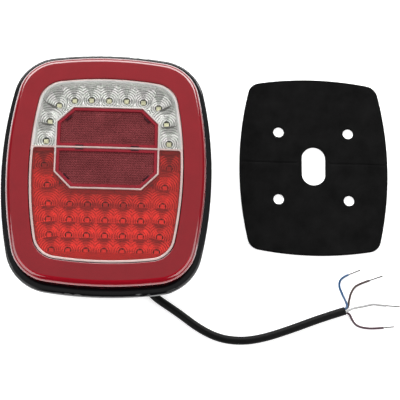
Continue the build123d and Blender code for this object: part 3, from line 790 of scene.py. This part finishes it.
def prism_field(name, outline):
    """Rows of small square prisms inside an outline, over a flat back."""
    low_x, low_y = outline.min(axis=0)
    high_x, high_y = outline.max(axis=0)
    points = []
    faces = []
    half = PRISM_PITCH / 2
    for y in np.arange(low_y + half, high_y + half, PRISM_PITCH):
        for x in np.arange(low_x + half, high_x + half, PRISM_PITCH):
            corners = np.array([(x + half * across, y + half * up) for across, up in SQUARE])
            if not contains(outline, corners).any():
                continue
            first = len(points)
            bottom = WINDOW_TOP_Z - PRISM_DEPTH - 0.7 - crown_drop(x, y)
            points += [(px, py, bottom) for px, py in corners]
            points.append((x, y, bottom + PRISM_DEPTH))
            faces += [(first + i, first + (i + 1) % 4, first + 4) for i in range(4)]
    return make_piece(name, points, faces, MATERIALS["reflex_red"], smooth_angle=10)


# ---------------------------------------------------------------- bowls


def reach_of_rays(centre, angles, loops):
    """How far each ray from a centre runs before it meets a loop's edge."""
    starts = np.vstack(loops)
    edges = np.vstack([np.roll(loop, -1, axis=0) - loop for loop in loops])
    gaps = starts - centre
    way_x = np.cos(angles)[:, None]
    way_y = np.sin(angles)[:, None]
    cross = way_x * edges[:, 1] - way_y * edges[:, 0]
    cross = np.where(np.abs(cross) < 1e-9, 1e-9, cross)
    along = (gaps[:, 0] * edges[:, 1] - gaps[:, 1] * edges[:, 0]) / cross
    share = (gaps[:, 0] * way_y - gaps[:, 1] * way_x) / cross
    hit = (along > 0) & (share >= 0) & (share <= 1)
    return np.where(hit, along, LAMP_REACH).min(axis=1)


def cell_reach(light, lights, angles):
    """How far a light's bowl runs before its neighbours' bowls, and where a ledge parts them."""
    far = np.full(len(angles), LAMP_REACH)
    ledge = np.zeros(len(angles))
    for other in lights:
        gap = np.subtract(other, light)
        distance = math.hypot(*gap)
        near = 0 < distance < NEIGHBOUR_REACH
        over = abs(gap[0]) < SAME_COLUMN and near
        beside = abs(gap[1]) < SAME_ROW and near
        if over:
            limit = LEDGE if gap[1] < 0 else distance - LEDGE
        elif beside:
            limit = distance / 2
        else:
            continue
        towards = (np.cos(angles) * gap[0] + np.sin(angles) * gap[1]) / distance
        reach = np.where(towards > 0.01, limit / np.maximum(towards, 0.01), LAMP_REACH)
        nearer = reach < far
        far = np.where(nearer, reach, far)
        ledge = np.where(nearer, float(over), ledge)
    return far, ledge


def bowl_profile(mouth, widest):
    """Radius and height of a stepped bowl's facets, from its mouth outwards."""
    count = int((widest - mouth) / STEP_PITCH) + 1
    radii = [mouth]
    heights = [BOWL_LOW_Z]
    for step in range(1, count + 1):
        radius = mouth + step * STEP_PITCH
        height = BOWL_LOW_Z + BOWL_CURVE * (radius - mouth) ** 2
        slope = max(FACET_SLOPE, (height - heights[-1]) / STEP_PITCH + FACET_LIFT)
        radii += [radius - RISER_WIDTH, radius]
        heights += [heights[-1] + slope * (STEP_PITCH - RISER_WIDTH), height]
    return np.array(radii), np.array(heights)


def bowls(name, looks, lights, inner_loops, outer_loops, mouth, widest, node):
    """Stepped, metallised bowls up to each other and to a shelf round their region."""
    angles = np.linspace(0, 2 * math.pi, RAYS, endpoint=False)
    radii, heights = bowl_profile(mouth, widest)
    points = []
    faces = []
    slots = []
    for light in lights:
        shared, ledge = cell_reach(light, lights, angles)
        far = np.minimum(shared, reach_of_rays(light, angles, inner_loops))
        outer = np.minimum(shared, reach_of_rays(light, angles, outer_loops))
        ledge = np.where(far < shared, 0.0, ledge)
        ledge *= np.clip(1.5 - np.abs(far * np.cos(angles)) / LEDGE_HALF_WIDTH, 0, 1)
        edge = far - np.where(far > 2 * LEDGE, LIP + LEDGE_FOOT * ledge, LIP)
        rows = [(np.minimum(mouth, edge), np.full(RAYS, BOARD_TOP_Z + 0.1))]
        rows += [(np.minimum(radius, edge), None) for radius in radii]
        ways = np.column_stack([np.cos(angles), np.sin(angles)])
        ceiling = SHELF_Z - crown_drop(*(ways * far[:, None] + light).T)
        rim = np.minimum(np.interp(edge, radii, heights), ceiling)
        rim += np.maximum(LEDGE_Z - rim, 0) * ledge
        rows.append((far, rim))
        shelf = np.where(outer > far + 0.01, ceiling, rim)
        rows.append((far + 0.01, shelf))
        rows.append((outer + 0.01, shelf))
        rows.append((outer + 0.01, np.full(RAYS, BOARD_TOP_Z + 0.1)))
        first = len(points)
        for distance, height in rows:
            if height is None:
                height = np.minimum(np.interp(distance, radii, heights), ceiling)
            x = light[0] + distance * np.cos(angles)
            y = light[1] + distance * np.sin(angles)
            points += np.column_stack([x, y, height]).tolist()
        made = grid_faces(len(rows), RAYS, first)
        faces += made
        crest_row = len(rows) - 5
        for index in range(len(made)):
            row, ray = divmod(index, RAYS)
            under_ledge = ledge[ray] > 0.3 and far[ray] > 2 * LEDGE
            # Painted shade: the mouth wall (row 0), the risers (even rows) and the walls up to the
            # ledges take darker copies of the bowl metal.
            if row == 0:
                slots.append(1)
            elif row > crest_row:
                slots.append(2)
            elif row < crest_row and row % 2 == 0:
                slots.append(4)
            else:
                slots.append(3 if row == crest_row and under_ledge else 0)
    materials = [MATERIALS[look] for look in looks]
    piece = make_piece(name, points, faces, materials, smooth_angle=12, slots=slots)
    return ride(piece, "lamp", "metallised", node)


def both_sides(places):
    """Each place and its mirror image in X."""
    return [(sign * x, y) for x, y in places for sign in (1, -1)]


def arch_lights():
    """Places of the white lights."""
    return [ARCH_TOP_LIGHT] + both_sides(ARCH_SIDE_LIGHTS)


def field_lights():
    """Places of the red lights."""
    places = both_sides(FIELD_SIDE_LIGHTS)
    for y, outer_x in FIELD_ROWS:
        places.append((0.0, y))
        places += both_sides([(x, y) for x in FIELD_COLUMNS[1:] + [outer_x]])
    return places


def level_line(y):
    """A long loop that is open to one side only, level in Y."""
    return np.array([(-LAMP_REACH, y), (LAMP_REACH, y)])


def arch_bowls():
    """Bowls of the clear arch."""
    half = REFLEX_LINE / 2 + 0.1
    outer = [window(FRAME_LINE + 0.05), octagon(-half), level_line(DIVIDER_Y + half)]
    inner = [window(FRAME_LINE + 0.8), octagon(-half - 0.5), level_line(DIVIDER_Y + half + 0.5)]
    looks = ("metallised", "mouth_wall_painted_shade", "metallised", "ledge_wall_painted_shade", "painted_shade_riser")
    sizes = (ARCH_MOUTH, ARCH_WIDEST)
    return bowls("arch_bowl_steps", looks, arch_lights(), inner, outer, *sizes, "arch_bowls")


def field_bowls():
    """Bowls of the red field, inside a plain border."""
    half = REFLEX_LINE / 2 + 0.1
    outer = [window(FRAME_LINE + 0.3), octagon(-half), level_line(DIVIDER_Y - half)]
    inner = [window(FRAME_LINE + 1.4), octagon(-half - 1.0), level_line(DIVIDER_Y - half - 1.5)]
    inner.append(level_line(FIELD_ROWS[-1][0] - LEDGE))
    looks = ("field_metal", "field_mouth_painted_shade", "field_shelf", "field_ledge_painted_shade", "field_painted_shade_riser")
    sizes = (FIELD_MOUTH, FIELD_WIDEST)
    return bowls("field_bowl_steps", looks, field_lights(), inner, outer, *sizes, "field_bowls")


def led_packages(name, lights, materials, slot, node):
    """Square light chips with a raised body and a softly domed square of resin on it."""
    top = BOARD_TOP_Z + LED_HEIGHT
    profile = [
        (0.0, 0.02, 0),
        (0.0, 1.0, 0),
        (0.05, LED_HEIGHT - 0.3, 0),
        (0.15, LED_HEIGHT - 0.2, 1),
        (0.3, LED_HEIGHT - 0.05, 1),
        (0.9, LED_HEIGHT, 1),
    ]
    points = []
    faces = []
    sides = []
    for x, y in lights:
        first = len(points)
        for inset, height, _ in profile:
            loop = rounded_square(LED_SIZE / 2 - inset, LED_CORNER)
            points += [(x + dx, y + dy, BOARD_TOP_Z + height) for dx, dy in loop]
        count = len(loop)
        points.append((x, y, top))
        strips = grid_faces(len(profile), count, first)
        faces += strips
        sides += [profile[index // count][2] for index in range(len(strips))]
        last = first + count * (len(profile) - 1)
        middle = last + count
        faces += [(last + i, last + (i + 1) % count, middle) for i in range(count)]
        sides += [1] * count
    piece = make_piece(name, points, faces, materials, smooth_angle=40, slots=sides)
    return ride(piece, "lamp", slot, node)


# ---------------------------------------------------------------- gasket and studs


def gasket():
    """Black foam gasket with soft edges and a fold line across its middle."""
    centre = np.array(GASKET_CENTRE)
    outlines = [lambda grow: barrel(GASKET, -grow, (30, 10, 30))]
    for place in STUD_PLACES:
        outlines.append(lambda grow, place=place: circle(GASKET_HOLE_RADIUS - grow, 36) + place)
    outlines.append(lambda grow: stadium(GASKET_SLOT[0] / 2 - grow, GASKET_SLOT[1] / 2 - grow))
    top = TABLE_Z + GASKET_THICKNESS
    edge = [(-0.9, top), (-0.3, top - 0.25), (0.0, top - 0.9)]
    edge += [(0.0, TABLE_Z + 0.5), (-0.3, TABLE_Z)]
    points = []
    faces = []
    for outline in outlines:
        first = len(points)
        for grow, z in edge:
            loop = outline(grow) + centre
            points += np.column_stack([loop, np.full(len(loop), z)]).tolist()
        faces += grid_faces(len(edge), len(loop), first)
    for grow, z in (edge[0], edge[-1]):
        flat, triangles = filled([outline(grow) for outline in outlines])
        first = len(points)
        points += np.column_stack([flat + centre, np.full(len(flat), z)]).tolist()
        faces += [tuple(first + index for index in triangle) for triangle in triangles]
    points = np.array(points)
    share = (points[:, 2] - TABLE_Z) / GASKET_THICKNESS
    x, y = points[:, 0] - centre[0], points[:, 1] - centre[1]
    fold = y - GASKET_FOLD_Y + 0.15 * np.sin(x / 9)
    groove = 0.75 * np.exp(-np.square(fold / 0.8)) - 0.25 * np.exp(-np.square(fold / 4.0))
    swell = 0.12 * np.sin(x / 17 + 0.7) * np.sin(y / 23 + 0.3) + 0.08 * np.sin(x / 7 + y / 11)
    points[:, 2] -= share * (groove + 0.2 - swell)
    piece = make_piece("foam_gasket", points, faces, MATERIALS["foam"], smooth_angle=50)
    return ride(piece, "gasket", "foam", "mounting_gasket")


def filled(loops):
    """Points and triangles that fill an outline (the first loop) around its holes."""
    outer = loops[0]
    across = np.arange(outer[:, 0].min(), outer[:, 0].max(), 3.0)
    rows = np.arange(outer[:, 1].min(), outer[:, 1].max(), 3.0)
    rows = [y for y in rows if abs(y - GASKET_FOLD_Y) > 3]
    rows += [GASKET_FOLD_Y + y for y in (-2.2, -1.2, -0.6, 0.0, 0.6, 1.2, 2.2)]
    spots = np.array([(x, y) for y in rows for x in across])
    keep = contains(outer, spots) & (distance_to(outer, spots) > 1.2)
    for hole in loops[1:]:
        keep &= ~contains(hole, spots) & (distance_to(hole, spots) > 1.2)
    points = np.vstack(loops + [spots[keep]])
    edges = []
    first = 0
    for loop in loops:
        count = len(loop)
        edges += [(first + i, first + (i + 1) % count) for i in range(count)]
        first += count
    flat = [Vector(point) for point in points]
    made, _, triangles, _, _, _ = delaunay_2d_cdt(flat, edges, [], 0, 1e-6)
    made = np.array([tuple(point) for point in made])
    middles = np.array([made[list(triangle)].mean(axis=0) for triangle in triangles])
    inside = contains(outer, middles)
    for hole in loops[1:]:
        inside &= ~contains(hole, middles)
    return made, [triangle for triangle, kept in zip(triangles, inside) if kept]


def stud_radius(z, angle):
    """The thread's surface: a helix of ridges that fades out at both ends."""
    turn = (z / THREAD_PITCH - angle / (2 * math.pi)) % 1.0
    ridge = abs(2 * turn - 1)
    tip = min(1.0, max(0.0, (z - TABLE_Z) / 0.8))
    return STUD_RADIUS - THREAD_DEPTH * ridge - 0.7 * (1 - tip)


def threaded_studs():
    """Four zinc-plated studs with their threads, shoulders and six-sided heads."""
    count = 24
    angles = [2 * math.pi * step / count for step in range(count)]
    profile = [[(0.0, TABLE_Z)] * count]
    steps = int(-TABLE_Z / THREAD_PITCH * 8)
    for step in range(steps + 1):
        z = TABLE_Z * (1 - step / steps)
        profile.append([(stud_radius(z, angle), z) for angle in angles])
    profile.append([(STUD_SHOULDER_RADIUS, 0.02)] * count)
    profile.append([(STUD_SHOULDER_RADIUS, STUD_HEAD_Z)] * count)
    for z in (STUD_HEAD_Z, STUD_HEAD_Z + STUD_HEAD_HEIGHT):
        sixths = [(angle + math.pi / 6) % (math.pi / 3) - math.pi / 6 for angle in angles]
        profile.append([(STUD_FLATS / 2 / math.cos(turn), z) for turn in sixths])
    profile.append([(0.0, STUD_HEAD_Z + STUD_HEAD_HEIGHT)] * count)
    points = []
    faces = []
    for x, y in STUD_PLACES:
        first = len(points)
        for row in profile:
            for (radius, z), angle in zip(row, angles):
                points.append((x + radius * math.cos(angle), y + radius * math.sin(angle), z))
        faces += grid_faces(len(profile), count, first)
    piece = make_piece("threaded_studs", points, faces, MATERIALS["zinc_steel"], smooth_angle=25)
    return ride(piece, "lamp", "zinc_steel", "mounting_studs")


# ---------------------------------------------------------------- cords


def spline(name, points, radius, material):
    """A smooth round cord with the points as its control points."""
    curve = bpy.data.curves.new(name, "CURVE")
    curve.dimensions = "3D"
    curve.bevel_depth = radius * MM
    curve.bevel_resolution = 6
    curve.use_fill_caps = True
    line = curve.splines.new("NURBS")
    line.points.add(len(points) - 1)
    for point, place in zip(line.points, points):
        point.co = (*(Vector(place) * MM), 1.0)
    line.order_u = 3
    line.use_endpoint_u = True
    line.resolution_u = 12
    curve.materials.append(material)
    piece = bpy.data.objects.new(name, curve)
    bpy.context.scene.collection.objects.link(piece)
    return piece


def stripped_tip(colour):
    """The bare end of a core: a straight bundle of seven tinned strands, lightly twisted."""
    before, start = [np.array(place) for place in CORE_ROUTES[colour][-2:]]
    way = (start - before) / np.linalg.norm(start - before)
    side = np.cross(way, (0.0, 0.0, 1.0))
    up = np.cross(side, way)
    length = math.dist(start[:2], CORE_TIP_ENDS[colour])
    count = 8
    points = []
    faces = []
    for strand in range(7):
        lay = 0.0 if strand == 6 else STRAND_LAY
        first = len(points)
        stations = np.linspace(-1.0, length, 24)
        for station in stations:
            turn = strand * math.pi / 3 + 2 * math.pi * station / STRAND_TURN
            middle = start + way * station + lay * (side * math.cos(turn) + up * math.sin(turn))
            for step in range(count):
                angle = 2 * math.pi * step / count
                around = side * math.cos(angle) + up * math.sin(angle)
                points.append(middle + STRAND_RADIUS * around)
        faces += grid_faces(len(stations), count, first)
        last = first + (len(stations) - 1) * count
        faces.append(tuple(range(first, first + count)))
        faces.append(tuple(range(last, last + count)))
    piece = make_piece(colour + "_strands", points, faces, MATERIALS["tinned_copper"])
    return ride(piece, "lamp", "tinned_copper", colour + "_core_tip")


def cable_and_cores():
    """The black cable and the four cores that fan out of its end."""
    jacket = spline("cable_sheath", CABLE_ROUTE, CABLE_RADIUS, MATERIALS["cable_black"])
    ride(jacket, "lamp", "cable_black", "cable_jacket")
    for colour, route in CORE_ROUTES.items():
        material = MATERIALS["core_" + colour]
        core = spline(colour + "_insulation", route, CORE_RADIUS, material)
        ride(core, "lamp", "core_" + colour, colour + "_core")
        stripped_tip(colour)


# ---------------------------------------------------------------- stage


def floor():
    """Plain white table."""
    size = 3.0
    steps = 24
    places = np.linspace(-size, size, steps + 1)
    points = [(x / MM, y / MM, TABLE_Z - 0.05) for y in places for x in places]
    faces = grid_faces(steps + 1, steps + 1, close_columns=False)
    material, tree, output = new_material("table_white")
    paint = tree.nodes.new("ShaderNodeBsdfDiffuse")
    paint.inputs["Color"].default_value = (0.9, 0.9, 0.9, 1.0)
    glow = tree.nodes.new("ShaderNodeEmission")
    glow.inputs["Strength"].default_value = 0.55
    both = tree.nodes.new("ShaderNodeAddShader")
    tree.links.new(paint.outputs[0], both.inputs[0])
    tree.links.new(glow.outputs[0], both.inputs[1])
    tree.links.new(both.outputs[0], output.inputs["Surface"])
    make_piece("table", points, faces, material)


def softbox(name, place, target, size, power):
    """A rectangular white studio light that faces a target. Places are in metres."""
    light = bpy.data.lights.new(name, "AREA")
    light.shape = "RECTANGLE"
    light.size, light.size_y = size
    light.energy = power
    lamp = bpy.data.objects.new(name, light)
    lamp.location = place
    way = Vector(target) - Vector(place)
    lamp.rotation_euler = way.to_track_quat("-Z", "Y").to_euler()
    bpy.context.scene.collection.objects.link(lamp)


def lights():
    """Soft studio light: a bright bank behind, softboxes at both sides and a dim ceiling."""
    middle = (0.1, 0.0, 0.0)
    softbox("behind_low", (0.1, 1.5, 1.2), middle, (3.0, 1.0), 68)
    softbox("ceiling", (0.1, 0.72, 2.0), middle, (3.0, 1.7), 4.6)
    softbox("left", (-1.5, -0.75, 1.5), middle, (2.0, 1.6), 28)
    softbox("right", (1.7, -0.75, 1.5), middle, (2.0, 1.6), 28)
    world = bpy.data.worlds.new("surround")
    bpy.context.scene.world = world
    world.use_nodes = True
    back = world.node_tree.nodes["Background"]
    back.inputs["Color"].default_value = (0.9, 0.9, 0.9, 1.0)
    back.inputs["Strength"].default_value = 0.04
    bpy.context.scene.view_settings.view_transform = "Standard"


def camera():
    """Camera over the lamp's lower edge, looking down and a little to the right."""
    place = Vector((39.4, -368.8, 1209.6)) * MM
    target = Vector((90.2, -15.8, 0.0)) * MM
    roll = math.radians(0.84)
    data = bpy.data.cameras.new("camera")
    data.sensor_width = 36.0
    data.lens = 117.0
    data.clip_start = 0.05
    data.clip_end = 20.0
    view = bpy.data.objects.new("camera", data)
    back = (place - target).normalized()
    right = Vector((0, 1, 0)).cross(back).normalized()
    upright = Matrix((right, back.cross(right), back)).transposed()
    turn = upright @ Matrix.Rotation(roll, 3, "Z")
    view.matrix_world = Matrix.Translation(place) @ turn.to_4x4()
    bpy.context.scene.collection.objects.link(view)
    bpy.context.scene.camera = view


camera()
lights()
floor()
dress_cad_nodes()
cable_and_cores()
ring_lens()
trim_lines()
reflex_half("upper_reflex_reflector", upper=True)
reflex_half("lower_reflex_reflector", upper=False)
latch_pockets()
arch_bowls()
field_bowls()
led_packages(
    "white_led_packages",
    arch_lights(),
    [MATERIALS["led_body"], MATERIALS["led_white"]],
    "led_white",
    "white_leds",
)
led_packages(
    "red_led_packages",
    field_lights(),
    [MATERIALS["led_body"], MATERIALS["led_red"]],
    "led_red",
    "red_leds",
)
gasket()
threaded_studs()
